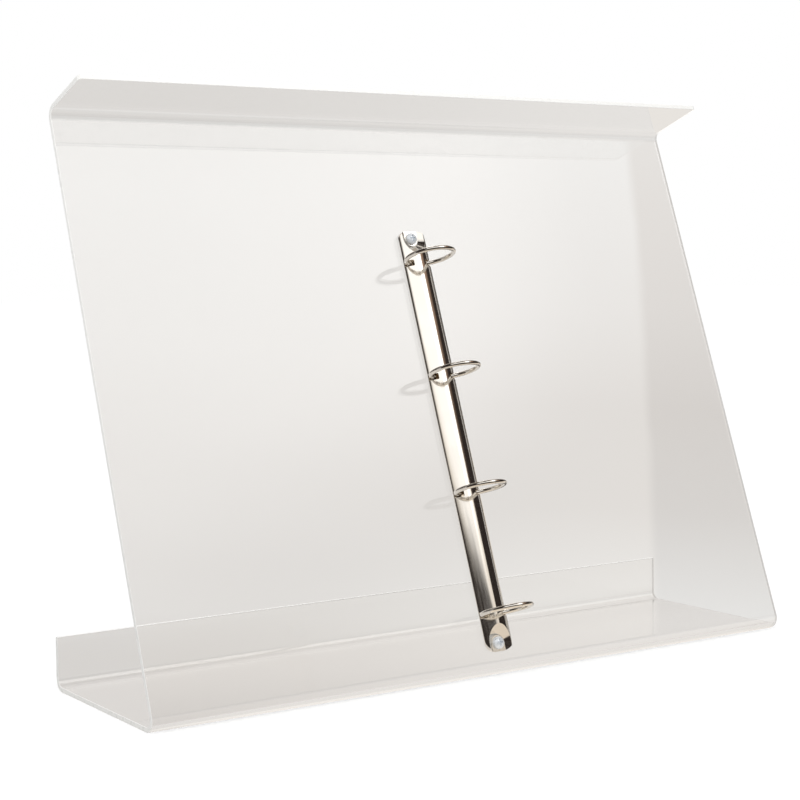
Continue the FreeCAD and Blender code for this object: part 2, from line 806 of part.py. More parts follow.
def make_nut(label, along):
    body = new_body(label)
    height, chamfer = dim("nut_height"), dim("nut_chamfer")
    bore_diameter = dim("screw_diameter") + 2 * dim("thread_clearance")
    half = bore_diameter / 2 + dim("nut_wall")
    corner = half / cosine(as_size(HALF_FLAT))
    plan = new_sketch(body, "XY_Plane", "plan")
    outline(
        plan,
        (corner, 0),
        (corner / 2, half),
        (-corner / 2, half),
        (-corner, 0),
        (-corner / 2, -half),
        (corner / 2, -half),
    )
    extrude(body, "Pad", plan, height, reverse=True)
    doc.recompute()
    turned = new_sketch(body, "XZ_Plane", "turned_corners")
    outline(turned, (half, -height), (corner + chamfer, -height), (corner + chamfer, chamfer - height))
    turn(body, "Groove", turned)
    doc.recompute()
    bore = new_sketch(body, "XY_Plane", "bore")
    circle(bore, 0, 0, bore_diameter)
    extrude(body, "Pocket", bore, THROUGH * height, symmetric=True)
    place_on_panel(body, along, -dim("sheet_thickness") - dim("washer_thickness"))
    return body


parts = [make_stand(), make_cover()]
right_fingers, left_fingers = finger_places()[::2], finger_places()[1::2]
parts.append(make_leaf("left_leaf", -1, left_fingers, right_fingers))
parts.append(make_leaf("right_leaf", 1, right_fingers, left_fingers))
for name, side in (("left", -1), ("right", 1)):
    for number, place in enumerate(ring_places(), start=1):
        parts.append(make_ring_half(f"{name}_ring_half_{number}", side, place))
for name, along in SEATS.items():
    parts.append(make_screw(f"{name}_screw", along))
    parts.append(make_washer(f"{name}_washer", along))
    parts.append(make_nut(f"{name}_nut", along))
doc.recompute()

for item in doc.Objects:
    if "Invalid" in item.State or "Error" in item.State:
        raise RuntimeError(f"{item.Label} failed: {item.State}")
for part in parts:
    shape = part.Shape
    if shape.isNull() or not shape.isValid() or len(shape.Solids) != 1:
        raise RuntimeError(f"{part.Label} is not one valid solid")

os.makedirs("parts", exist_ok=True)
for part in parts:
    part.Shape.exportStep(f"parts/{part.Label}.step")
    print(f"{part.Label}: {part.Shape.Volume:.1f} mm3")
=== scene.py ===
"""Finishes a clear bent-sheet document holder with a ring mechanism, and stages it for a photograph."""

import json
import math
import bpy
from mathutils import Matrix, Vector


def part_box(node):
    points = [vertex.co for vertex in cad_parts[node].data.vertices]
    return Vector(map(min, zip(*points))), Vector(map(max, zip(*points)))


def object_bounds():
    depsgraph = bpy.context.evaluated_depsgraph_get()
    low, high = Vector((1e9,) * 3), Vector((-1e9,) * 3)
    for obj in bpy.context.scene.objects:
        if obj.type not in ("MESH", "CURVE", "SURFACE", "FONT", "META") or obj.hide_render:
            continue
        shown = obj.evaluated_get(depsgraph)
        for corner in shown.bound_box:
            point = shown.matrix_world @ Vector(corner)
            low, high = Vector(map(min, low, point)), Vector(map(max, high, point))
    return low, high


bl_info = {
    "name": "Document Holder Finish",
    "version": (1, 0, 0),
    "blender": (4, 5, 0),
    "location": "View3D > Sidebar > Holder",
    "description": "Finishes a clear document holder with a plated ring mechanism and stages it",
    "category": "Object",
}

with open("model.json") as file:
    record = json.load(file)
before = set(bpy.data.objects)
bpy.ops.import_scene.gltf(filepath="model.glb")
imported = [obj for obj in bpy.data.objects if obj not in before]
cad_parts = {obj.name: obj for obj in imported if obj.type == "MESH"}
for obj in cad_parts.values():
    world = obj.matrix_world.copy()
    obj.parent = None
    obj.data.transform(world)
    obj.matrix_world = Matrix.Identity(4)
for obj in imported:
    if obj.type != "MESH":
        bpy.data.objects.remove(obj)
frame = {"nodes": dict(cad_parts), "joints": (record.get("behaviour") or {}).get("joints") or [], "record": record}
NODES = frame["nodes"]
CAD_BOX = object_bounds()
HOLDER_LOW, HOLDER_HIGH = CAD_BOX

MM = 0.001
WHITE = (1.0, 1.0, 1.0)
BLACK = (0.0, 0.0, 0.0)

# The panel's lean comes from the leaves' swing axis, which runs up the panel.
SWING_AXIS = Vector(frame["joints"][0]["axis"]).normalized()
UP_PANEL = SWING_AXIS if SWING_AXIS.z > 0 else -SWING_AXIS
ACROSS = Vector((1.0, 0.0, 0.0))
OUT_OF_PANEL = ACROSS.cross(UP_PANEL)

# The sheet's cut edges: how far the easing reaches, the rear lip's top, and a face turned sideways.
EASING = 0.36 * MM
LIP_HEIGHT = 34.0 * MM
LIP_DEPTH = 4.0 * MM
SIDEWAYS = 0.2

# Clear sheet: refraction, and the clouds of film, tone and waves in it.
ACRYLIC_IOR = 1.49
FILM_CLOUD = {"scale": 11.0, "detail": 4.0, "roughness": 0.6}
FILM_RANGE = (0.5, 0.72)
WAVE_CLOUD = {"scale": 16.0, "detail": 1.0}
SHEET_TONE_SCALE = 3.0
SHEET_TONE_SHARE = 0.985
TONE_RANGE = (0.3, 0.7)

# Cut edges: saw marks, painted shade darker towards the foot, painted light as a glow on the edges that face up,
# and clearness from within.
SAW_MARK_SCALE = 250.0
SAW_MARK_SHARE = 0.96
SAW_MARK_RANGE = (0.2, 0.8)
SAW_MARK_STRENGTH = 0.2
SAW_MARK_DEPTH = 0.005 * MM
EDGE_ROUGHNESS_SPREAD = 0.3
# Painted shade: heights and tones over which the cut edges darken towards the foot.
PAINTED_SHADE_HEIGHTS = (0.03, 0.34)
PAINTED_SHADE_TONES = (0.85, 0.98)
# Painted light: tilts and emission strengths of the glow on the cut edges that face up.
PAINTED_LIGHT_TILTS = (0.5, 0.9)
PAINTED_EDGE_LIGHT = (0.0, 0.25)
CLEAR_FROM_WITHIN = 0.85

# Plating: clouds of tone, and the grain drawn along the strip, round the wire, or left even.
PLATING_TONE_CLOUD = {"scale": 60.0, "detail": 3.0}
PLATING_TONE_SHARE = 0.95
GRAIN_CLOUD = {"scale": 900.0, "detail": 3.0}
GRAIN_RANGE = (0.25, 0.75)
GRAIN_STRENGTH = 0.4
ROUGHNESS_SPREAD = 0.25
STRIP_GRAIN = (1.0, 0.05, 0.05)
WIRE_GRAIN = (0.3, 0.3, 1.0)
EVEN_GRAIN = (1.0, 1.0, 1.0)
NICKEL_GRAIN_DEPTH = 0.002 * MM
ZINC_GRAIN_DEPTH = 0.004 * MM
WIRE_GLOSS = 0.8
ZINC_METALLIC = 0.4

# The pale room seen through the sheet: tones by rise in degrees, at the left and at the right of the view.
VIEW_TURN = 33.8
ROOM_SLANT = 0.046
ROOM_MEETING = (-7.8, 10.2)
ROOM_LEFT = (
    (-18.0, 0.64), (-12.5, 0.67), (-11.2, 0.71), (-9.7, 0.68), (-6.5, 0.67), (-2.8, 0.722),
    (2.0, 0.755), (4.1, 0.752), (4.5, 0.69), (15.0, 0.73), (25.0, 1.0), (40.0, 1.4),
)
ROOM_RIGHT = (
    (-18.0, 0.80), (-12.5, 0.85), (-10.6, 0.87), (-7.5, 0.735), (-4.3, 0.71), (-1.2, 0.775),
    (2.0, 0.81), (4.1, 0.85), (4.5, 0.80), (15.0, 0.78), (25.0, 1.0), (40.0, 1.4),
)
LEFT_NEUTRAL = 0.82
RIGHT_NEUTRAL = 0.9
RED_WARMTH = 0.19
BLUE_WARMTH = 0.11
BLUE_SHARE = 0.988

# The studio in mirrors: degrees of turn, slanted turn or rise over which each light or wall comes and goes.
HALF_TURN = 180.0
SOFTBOX_SLANT = -0.52
SOFTBOX_LEFT = (-60.0, -50.0)
SOFTBOX_RIGHT = (33.6, 34.1)
SOFTBOX_TOP = (52.0, 62.0)
SILL_RISE = 27.05
SILL_MIDDLE = -5.0
SILL_FALL = -0.0175
SILL_BEND = 1.5
SILL_SOFTNESS = (-1.1, 1.1)
DIP_START = 15.0
DIP_FALL = -0.12
WALL_START = (28.0, 33.0)
WALL_END = (45.0, 70.0)
LIT_RISE = (20.0, 31.0)
CORE_END = (25.0, 33.0)
CORE_RISE = (23.0, 30.0)
CORE_TURN = (18.0, 30.0)
REAR_START = (-8.0, 2.0)
REAR_END = (46.0, 50.0)
REAR_TOP = (22.0, 30.0)
STRIP_BOTTOM = (46.0, 50.0)
STRIP_TOP = (60.0, 64.0)
STRIP_START = (0.0, 8.0)
STRIP_END = (26.0, 42.0)
STRIP_REST = 0.1
SHADE_START = (22.0, 32.0)
SHADE_END = (75.0, 95.0)
SHADE_SHARE = 0.65

# The studio's colours.
DARK_SIDE = (0.03, 0.024, 0.022)
BROWN_WALL = (0.44, 0.30, 0.22)
SOFTBOX_LOW = (0.92, 0.86, 0.78)
SOFTBOX_HIGH = (1.36, 1.35, 1.34)
SOFTBOX_CORE = (2.60, 2.57, 2.52)
REAR_WALL = (0.78, 0.75, 0.73)
STRIP_LIGHT = (5.0, 4.9, 4.8)
SHADE = (0.06, 0.05, 0.045)
DEEP_GLOW = (1.0, 0.97, 0.93)
DEEP_SHARE = 0.6
DIFFUSE_LOSS = -0.15
OPEN_AIR = 0.1 * MM

# The floor: its paper, its white to the eye, and its parts in mirrors, in metres from the holder's middle.
PAPER_CLOUD = {"scale": 30.0, "detail": 3.0}
PAPER_DARK = (0.86, 0.86, 0.86)
PAPER_PALE = (0.90, 0.90, 0.90)
FLOOR_GLOW = 1.26
FLOOR_GLOW_SHARE = 0.5
FRONT_DEPTH = (-0.30, -0.16)
FRONT_ACROSS = (-0.30, -0.18)
CLOSE_REACH = (0.9, 1.4)
BESIDE_ACROSS = (0.03, 0.09)
BESIDE_REACH = (0.40, 0.48)
BESIDE_DEPTH = (0.0, 0.04)
# Painted shade: the floor in mirrors is dark away from its lit front.
PAINTED_SHADE_FLOOR = (0.10, 0.085, 0.075)
BEIGE_FLOOR = (0.86, 0.77, 0.66)
PALE_FLOOR = (0.78, 0.76, 0.74)

# Light path: how a depth is read, how many bounces are followed, and where soft light takes their place.
DEPTH_STEP = 0.5
SECOND_MIRROR = 2.0
BOUNCES = 32
SOFT_LIGHT_BOUNCES = 12

SENSOR_WIDTH = 36.0
CLIP_END = 100.0


# Node helpers


def add_node(tree, kind, sockets=None, **settings):
    """Adds a shader node, sets its properties, and fills its sockets from values or other sockets."""
    node = tree.nodes.new("ShaderNode" + kind)
    for name, value in settings.items():
        setattr(node, name, value)
    for name, value in (sockets or {}).items():
        if isinstance(value, bpy.types.NodeSocket):
            tree.links.new(value, node.inputs[name])
        else:
            node.inputs[name].default_value = value
    return node


def calculate(tree, operation, *values):
    """A Math node on up to three values or sockets."""
    node = add_node(tree, "Math", dict(enumerate(values)), operation=operation)
    return node.outputs[0]


def product(tree, first, *others):
    """Multiplies values or sockets."""
    for other in others:
        first = calculate(tree, "MULTIPLY", first, other)
    return first


def opposite(tree, share):
    """What a share leaves of 1."""
    return calculate(tree, "SUBTRACT", 1.0, share)


def blend_range(tree, value, low, high, to_low=0.0, to_high=1.0):
    """Carries a value smoothly from one range to another, and stops at its ends."""
    sockets = {"Value": value, "From Min": low, "From Max": high, "To Min": to_low, "To Max": to_high}
    node = add_node(tree, "MapRange", sockets, interpolation_type="SMOOTHSTEP", clamp=True)
    return node.outputs["Result"]


def comes(tree, value, ends):
    """Rises smoothly from 0 to 1 between two ends."""
    return blend_range(tree, value, *ends)


def goes(tree, value, ends, rest=0.0):
    """Falls smoothly from 1 to a rest between two ends."""
    return blend_range(tree, value, *ends, 1.0, rest)


def blend_straight(tree, value, low, high):
    """Carries a value evenly from a range to 0 and 1, and stops at its ends."""
    sockets = {"Value": value, "From Min": low, "From Max": high}
    return add_node(tree, "MapRange", sockets, clamp=True).outputs["Result"]


def blend_colour(tree, factor, first, second):
    """Mixes two colours or colour sockets."""
    node = add_node(tree, "Mix", data_type="RGBA")
    for index, value in ((0, factor), (6, first), (7, second)):
        if isinstance(value, bpy.types.NodeSocket):
            tree.links.new(value, node.inputs[index])
        elif index:
            node.inputs[index].default_value = (*value, 1.0)
        else:
            node.inputs[index].default_value = value
    return node.outputs[2]


def mix_shaders(tree, factor, first, second):
    """Mixes the first outputs of two shader nodes."""
    sockets = {0: factor, 1: first.outputs[0], 2: second.outputs[0]}
    return add_node(tree, "MixShader", sockets)


def cloud(tree, place, scale, detail=2.0, roughness=0.5):
    """A soft three-dimensional noise, from 0 to 1."""
    sockets = {"Vector": place, "Scale": scale, "Detail": detail, "Roughness": roughness}
    return add_node(tree, "TexNoise", sockets).outputs["Fac"]


def stretched(tree, place, stretch):
    """Places drawn out along one way, for marks that follow the strip or the wire."""
    return add_node(tree, "VectorMath", {0: place, 1: stretch}, operation="MULTIPLY").outputs[0]


def darkened(colour, share):
    """A colour with every channel brought down to a share of itself."""
    return [channel * share for channel in colour]


def around(mean, spread):
    """The ends of a range that lies evenly around a mean."""
    return mean * (1 - spread), mean * (1 + spread)


def new_material(name):
    """An empty node material with its output, and the object's own coordinates."""
    material = bpy.data.materials.new(name)
    material.use_nodes = True
    tree = material.node_tree
    tree.nodes.clear()
    output = add_node(tree, "OutputMaterial")
    place = add_node(tree, "TexCoord").outputs["Object"]
    return material, tree, output, place


def dress(node_name, material):
    """Gives a CAD node its finish."""
    node = NODES[node_name]
    node.data.materials.clear()
    node.data.materials.append(material)


def nodes_with_slot(slot):
    """Names of the CAD nodes that the record gives one material slot."""
    return [part["node"] for part in frame["record"]["subparts"] if part["material_slot"] == slot]


# Settings


class AcrylicSettings(bpy.types.PropertyGroup):
    """Finish of the clear sheet."""

    tint: bpy.props.FloatVectorProperty(
        name="Tint",
        description="Colour that white takes on through one thickness of the sheet",
        subtype="COLOR",
        default=(0.985, 0.98, 0.972),
        min=0.0,
        max=1.0,
    )
    edge_tint: bpy.props.FloatVectorProperty(
        name="Edge tint",
        description="Colour of the sawn and polished edges",
        subtype="COLOR",
        default=(0.97, 0.965, 0.94),
        min=0.0,
        max=1.0,
    )
    edge_roughness: bpy.props.FloatProperty(
        name="Edge roughness",
        description="Roughness of the sawn and polished edges",
        default=0.3,
        min=0.0,
        max=1.0,
    )
    smudge: bpy.props.FloatProperty(
        name="Smudge",
        description="Roughness where hands have left a faint film",
        default=0.02,
        min=0.0,
        max=1.0,
    )
    waviness: bpy.props.FloatProperty(
        name="Waviness",
        description="Height of the cast sheet's slow waves",
        unit="LENGTH",
        default=0.025 * MM,
        min=0.0,
    )


class PlatingSettings(bpy.types.PropertyGroup):
    """Finish of the plated metal."""

    nickel: bpy.props.FloatVectorProperty(
        name="Nickel",
        description="Colour of the bright nickel",
        subtype="COLOR",
        default=(0.83, 0.79, 0.73),
        min=0.0,
        max=1.0,
    )
    nickel_roughness: bpy.props.FloatProperty(
        name="Nickel roughness",
        description="Mean roughness of the bright nickel",
        default=0.09,
        min=0.0,
        max=1.0,
    )
    zinc: bpy.props.FloatVectorProperty(
        name="Zinc",
        description="Colour of the bluish zinc on the screws, washers and nuts",
        subtype="COLOR",
        default=(0.88, 0.92, 0.96),
        min=0.0,
        max=1.0,
    )
    zinc_roughness: bpy.props.FloatProperty(
        name="Zinc roughness",
        description="Mean roughness of the zinc",
        default=0.42,
        min=0.0,
        max=1.0,
    )


class StageSettings(bpy.types.PropertyGroup):
    """Floor, light and camera."""

    floor_side: bpy.props.FloatProperty(
        name="Floor side",
        description="Side of the square floor",
        unit="LENGTH",
        default=24.0,
        min=1.0,
    )
    floor_gap: bpy.props.FloatProperty(
        name="Floor gap",
        description="Air between the floor and the base",
        unit="LENGTH",
        default=0.2 * MM,
        min=0.0,
    )
    softbox_place: bpy.props.FloatVectorProperty(
        name="Softbox place",
        description="Middle of the soft lamp",
        subtype="TRANSLATION",
        unit="LENGTH",
        default=(-0.9, -1.1, 1.8),
    )
    softbox_side: bpy.props.FloatProperty(
        name="Softbox side",
        description="Side of the square soft lamp",
        unit="LENGTH",
        default=1.4,
        min=0.1,
    )
    softbox_power: bpy.props.FloatProperty(
        name="Softbox power",
        description="Power of the soft lamp",
        unit="POWER",
        default=12.0,
        min=0.0,
    )
    camera_place: bpy.props.FloatVectorProperty(
        name="Camera place",
        description="Where the camera stands",
        subtype="TRANSLATION",
        unit="LENGTH",
        default=(-0.6896, -0.9861, 0.2654),
    )
    camera_turn: bpy.props.FloatVectorProperty(
        name="Camera turn",
        description="The camera's turn to the right, tilt down and roll",
        subtype="EULER",
        unit="ROTATION",
        default=(math.radians(33.73), math.radians(2.88), math.radians(-0.67)),
    )
    lens: bpy.props.FloatProperty(
        name="Lens",
        description="Focal length on a 36 mm sensor, in millimetres",
        default=81.385,
        min=10.0,
    )
    shift_up: bpy.props.FloatProperty(
        name="Shift",
        description="Upward shift of the frame, as a share of its width",
        default=-0.0577,
    )


# Finishes


def make_clear_acrylic(look):
    """Clear cast sheet: slightly wavy and faintly smudged."""
    material, tree, output, place = new_material("clear_acrylic")
    film = comes(tree, cloud(tree, place, **FILM_CLOUD), FILM_RANGE)
    tone = comes(tree, cloud(tree, place, SHEET_TONE_SCALE), TONE_RANGE)
    clear = blend_colour(tree, tone, darkened(look.tint, SHEET_TONE_SHARE), list(look.tint))
    wave = cloud(tree, place, **WAVE_CLOUD)
    bump = add_node(tree, "Bump", {"Strength": 1.0, "Distance": look.waviness, "Height": wave})
    sockets = {
        "Base Color": clear,
        "Roughness": product(tree, film, look.smudge),
        "Transmission Weight": 1.0,
        "IOR": ACRYLIC_IOR,
        "Normal": bump.outputs["Normal"],
    }
    shader = add_node(tree, "BsdfPrincipled", sockets)
    tree.links.new(shader.outputs["BSDF"], output.inputs["Surface"])
    return material


def make_cut_edge(look):
    """Sawn and scraped edge: pale, with painted shade darker towards the foot and painted light on the faces that
    turn up, finely marked, and clear from within.
    """
    material, tree, output, place = new_material("cut_edge")
    marks = cloud(tree, place, SAW_MARK_SCALE)
    height = add_node(tree, "SeparateXYZ", {"Vector": place}).outputs["Z"]
    # Painted shade: the edge colour darkens towards the foot.
    painted_shade = blend_range(tree, height, *PAINTED_SHADE_HEIGHTS, *PAINTED_SHADE_TONES)
    colour = blend_colour(tree, marks, darkened(look.edge_tint, SAW_MARK_SHARE), list(look.edge_tint))
    colour = blend_colour(tree, painted_shade, BLACK, colour)
    geometry = add_node(tree, "NewGeometry").outputs
    # Painted light: the edges that face up get an emission that glows.
    upward = add_node(tree, "SeparateXYZ", {"Vector": geometry["True Normal"]}).outputs["Z"]
    sawn = {"Strength": SAW_MARK_STRENGTH, "Distance": SAW_MARK_DEPTH, "Height": marks}
    roughness_ends = around(look.edge_roughness, EDGE_ROUGHNESS_SPREAD)
    sockets = {
        "Base Color": colour,
        "Roughness": blend_range(tree, marks, *SAW_MARK_RANGE, *roughness_ends),
        "IOR": ACRYLIC_IOR,
        "Normal": add_node(tree, "Bump", sawn).outputs["Normal"],
        "Emission Color": (*WHITE, 1.0),
        "Emission Strength": blend_range(tree, upward, *PAINTED_LIGHT_TILTS, *PAINTED_EDGE_LIGHT),
    }
    shader = add_node(tree, "BsdfPrincipled", sockets)
    within = product(tree, geometry["Backfacing"], CLEAR_FROM_WITHIN)
    mix = mix_shaders(tree, within, shader, add_node(tree, "BsdfTransparent"))
    tree.links.new(mix.outputs[0], output.inputs["Surface"])
    return material


def finish_cut_edges(sheet, slot_index):
    """Gives the sheet's side faces, the lip's top and the hood's front the edge finish."""
    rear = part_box(sheet.name)[1].y
    hood_reach = max(vertex.co.dot(OUT_OF_PANEL) for vertex in sheet.data.vertices)
    lip_top = LIP_HEIGHT - EASING
    for face in sheet.data.polygons:
        side = abs(face.normal.x) > SIDEWAYS
        hood_front = face.center.dot(OUT_OF_PANEL) > hood_reach - EASING
        on_lip = face.center.y > rear - LIP_DEPTH and lip_top < face.center.z < LIP_HEIGHT + EASING
        if side or hood_front or on_lip:
            face.material_index = slot_index


def make_plating(name, colour, mean_roughness, grain, grain_depth, metallic=1.0):
    """Plated steel: a little uneven in tone and gloss, with fine marks along the grain."""
    material, tree, output, place = new_material(name)
    tone = comes(tree, cloud(tree, place, **PLATING_TONE_CLOUD), TONE_RANGE)
    shade = blend_colour(tree, tone, darkened(colour, PLATING_TONE_SHARE), list(colour))
    drawn = cloud(tree, stretched(tree, place, grain), **GRAIN_CLOUD)
    roughness = blend_range(tree, drawn, *GRAIN_RANGE, *around(mean_roughness, ROUGHNESS_SPREAD))
    bump = add_node(tree, "Bump", {"Strength": GRAIN_STRENGTH, "Distance": grain_depth, "Height": drawn})
    sockets = {
        "Base Color": shade,
        "Metallic": metallic,
        "Roughness": roughness,
        "Normal": bump.outputs["Normal"],
    }
    shader = add_node(tree, "BsdfPrincipled", sockets)
    tree.links.new(shader.outputs["BSDF"], output.inputs["Surface"])
    return material


class HOLDER_OT_acrylic(bpy.types.Operator):
    """Gives the bent sheet its clear acrylic finish"""

    bl_idname = "holder.acrylic"
    bl_label = "Finish Acrylic Stand"

    def execute(self, context):
        look = context.scene.holder_acrylic
        clear = make_clear_acrylic(look)
        edge = make_cut_edge(look)
        for name in nodes_with_slot("acrylic"):
            dress(name, clear)
            NODES[name].data.materials.append(edge)
            finish_cut_edges(NODES[name], 1)
        return {"FINISHED"}


class HOLDER_OT_mechanism(bpy.types.Operator):
    """Gives the cover, the leaves and the rings their bright nickel"""

    bl_idname = "holder.mechanism"
    bl_label = "Finish Ring Mechanism"

    def execute(self, context):
        look = context.scene.holder_plating
        rough = look.nickel_roughness
        strip = make_plating("nickel_strip", look.nickel, rough, STRIP_GRAIN, NICKEL_GRAIN_DEPTH)
        wire = make_plating("nickel_wire", look.nickel, rough * WIRE_GLOSS, WIRE_GRAIN, NICKEL_GRAIN_DEPTH)
        for name in nodes_with_slot("nickel"):
            dress(name, wire if "ring_half" in name else strip)
        return {"FINISHED"}


class HOLDER_OT_fasteners(bpy.types.Operator):
    """Gives the screws, washers and nuts their bluish zinc"""

    bl_idname = "holder.fasteners"
    bl_label = "Finish Fasteners"

    def execute(self, context):
        look = context.scene.holder_plating
        rough = look.zinc_roughness
        zinc = make_plating("zinc_plate", look.zinc, rough, EVEN_GRAIN, ZINC_GRAIN_DEPTH, ZINC_METALLIC)
        for name in nodes_with_slot("zinc"):
            dress(name, zinc)
        return {"FINISHED"}


# Stage


def turn_of(tree, parts):
    """Turn to the right of straight back, in degrees, of a direction given by its parts."""
    return calculate(tree, "DEGREES", calculate(tree, "ARCTAN2", parts["X"], parts["Y"]))


def direction(tree, way):
    """Turn to the right of straight back, and rise above level, of a direction, in degrees."""
    unit = add_node(tree, "VectorMath", {0: way}, operation="NORMALIZE").outputs[0]
    parts = add_node(tree, "SeparateXYZ", {"Vector": unit}).outputs
    rise = calculate(tree, "DEGREES", calculate(tree, "ARCSINE", parts["Z"]))
    return turn_of(tree, parts), rise


def seen_through(tree, path):
    """1 for what is seen through the sheet."""
    return calculate(tree, "GREATER_THAN", path["Transmission Depth"], DEPTH_STEP)


def second_mirror(tree, path):
    """1 for what is seen by way of exactly two mirrors."""
    return calculate(tree, "COMPARE", path["Glossy Depth"], SECOND_MIRROR, DEPTH_STEP)


def in_mirror(tree, path):
    """1 for what is seen by way of a mirror, also through the sheet."""
    mirrored = calculate(tree, "GREATER_THAN", path["Glossy Depth"], DEPTH_STEP)
    return product(tree, mirrored, opposite(tree, path["Is Diffuse Ray"]))


def tone_by_rise(tree, rise, tones, neutral):
    """Colour that follows rises in degrees and their tones, warmer where darker than the neutral tone."""
    low, high = tones[0][0], tones[-1][0]
    place = blend_straight(tree, rise, low, high)
    node = add_node(tree, "ValToRGB", {"Fac": place})
    stops = node.color_ramp.elements
    while len(stops) < len(tones):
        stops.new(1.0)
    for stop, (angle, tone) in zip(stops, tones):
        warmth = max(0.0, neutral - tone)
        red = tone * (1 + RED_WARMTH * warmth)
        blue = tone * (BLUE_SHARE - BLUE_WARMTH * warmth)
        stop.position = (angle - low) / (high - low)
        stop.color = (red, tone, blue, 1.0)
    return node.outputs["Color"]


def pale_room(tree, way):
    """The room behind the sheet: pale at eye level, darker below and above it, and bright overhead."""
    turn, rise = direction(tree, way)
    aside = calculate(tree, "RADIANS", calculate(tree, "SUBTRACT", turn, VIEW_TURN))
    across = calculate(tree, "DEGREES", calculate(tree, "SINE", aside))
    slanted = calculate(tree, "MULTIPLY_ADD", across, ROOM_SLANT, rise)
    left = tone_by_rise(tree, slanted, ROOM_LEFT, LEFT_NEUTRAL)
    right = tone_by_rise(tree, slanted, ROOM_RIGHT, RIGHT_NEUTRAL)
    return blend_colour(tree, comes(tree, across, ROOM_MEETING), left, right)


def rear_window(tree, turn):
    """1 where the pale room behind the stand shows in mirrors."""
    return product(tree, comes(tree, turn, REAR_START), goes(tree, turn, REAR_END))


def brighten_deep(tree, path, colour):
    """What is seen by way of two mirrors or more is paler, as the many faces light each other."""
    deeper = calculate(tree, "GREATER_THAN", path["Glossy Depth"], SECOND_MIRROR + DEPTH_STEP)
    trapped = product(tree, deeper, seen_through(tree, path))
    deep = calculate(tree, "MAXIMUM", second_mirror(tree, path), trapped)
    return blend_colour(tree, product(tree, deep, DEEP_SHARE), colour, DEEP_GLOW)


def softbox_sill(tree, front_turn):
    """Rise of the front light's lower end, which bends down to both sides and dips at the right."""
    from_middle = calculate(tree, "SUBTRACT", front_turn, SILL_MIDDLE)
    bend = calculate(tree, "POWER", calculate(tree, "ABSOLUTE", from_middle), SILL_BEND)
    sill = calculate(tree, "MULTIPLY_ADD", bend, SILL_FALL, SILL_RISE)
    dip = calculate(tree, "MAXIMUM", calculate(tree, "SUBTRACT", front_turn, DIP_START), 0.0)
    return calculate(tree, "MULTIPLY_ADD", dip, DIP_FALL, sill)


def front_light(tree, front_turn, rise):
    """The broad soft light in front, brightest at its right, between a dark side and a brown wall."""
    slanted = calculate(tree, "MULTIPLY_ADD", rise, SOFTBOX_SLANT, front_turn)
    above_sill = calculate(tree, "SUBTRACT", rise, softbox_sill(tree, front_turn))
    softbox = product(
        tree,
        goes(tree, slanted, SOFTBOX_RIGHT),
        comes(tree, front_turn, SOFTBOX_LEFT),
        comes(tree, above_sill, SILL_SOFTNESS),
        goes(tree, rise, SOFTBOX_TOP),
    )
    lit = comes(tree, rise, LIT_RISE)
    wall = product(tree, comes(tree, slanted, WALL_START), goes(tree, slanted, WALL_END), lit)
    core = product(
        tree,
        goes(tree, slanted, CORE_END),
        comes(tree, rise, CORE_RISE),
        comes(tree, front_turn, CORE_TURN),
    )
    dark = blend_colour(tree, wall, DARK_SIDE, BROWN_WALL)
    bright = blend_colour(tree, core, blend_colour(tree, lit, SOFTBOX_LOW, SOFTBOX_HIGH), SOFTBOX_CORE)
    return blend_colour(tree, softbox, dark, bright)


def mirrored_room(tree, way, path):
    """The studio in mirrors: the front light, the pale room behind the stand, and a strip overhead."""
    turn, rise = direction(tree, way)
    front_turn = calculate(tree, "WRAP", calculate(tree, "SUBTRACT", HALF_TURN, turn), HALF_TURN, -HALF_TURN)
    through = seen_through(tree, path)
    low = calculate(tree, "MAXIMUM", through, goes(tree, rise, REAR_TOP))
    window = product(tree, rear_window(tree, turn), low)
    colour = blend_colour(tree, window, front_light(tree, front_turn, rise), REAR_WALL)
    strip = product(
        tree,
        comes(tree, rise, STRIP_BOTTOM),
        goes(tree, rise, STRIP_TOP),
        comes(tree, turn, STRIP_START),
        goes(tree, turn, STRIP_END, STRIP_REST),
    )
    colour = brighten_deep(tree, path, blend_colour(tree, strip, colour, STRIP_LIGHT))
    shade = product(
        tree,
        comes(tree, front_turn, SHADE_START),
        goes(tree, front_turn, SHADE_END),
        second_mirror(tree, path),
        opposite(tree, through),
        SHADE_SHARE,
    )
    return blend_colour(tree, shade, colour, SHADE)


def light_world():
    """White room to the eye, pale through the sheet, and the studio's lights and dark sides in mirrors."""
    world = bpy.data.worlds.new("studio")
    bpy.context.scene.world = world
    world.use_nodes = True
    world.light_settings.distance = OPEN_AIR
    tree = world.node_tree
    tree.nodes.clear()
    output = add_node(tree, "OutputWorld")
    path = add_node(tree, "LightPath").outputs
    way = add_node(tree, "TexCoord").outputs["Generated"]
    strength = calculate(tree, "MULTIPLY_ADD", path["Is Diffuse Ray"], DIFFUSE_LOSS, 1.0)
    light = add_node(tree, "Background", {"Color": (*WHITE, 1.0), "Strength": strength})
    through = add_node(tree, "Background", {"Color": pale_room(tree, way), "Strength": 1.0})
    studio = add_node(tree, "Background", {"Color": mirrored_room(tree, way, path), "Strength": 1.0})
    pale = mix_shaders(tree, path["Is Transmission Ray"], light, through)
    mix = mix_shaders(tree, in_mirror(tree, path), pale, studio)
    tree.links.new(mix.outputs[0], output.inputs["Surface"])


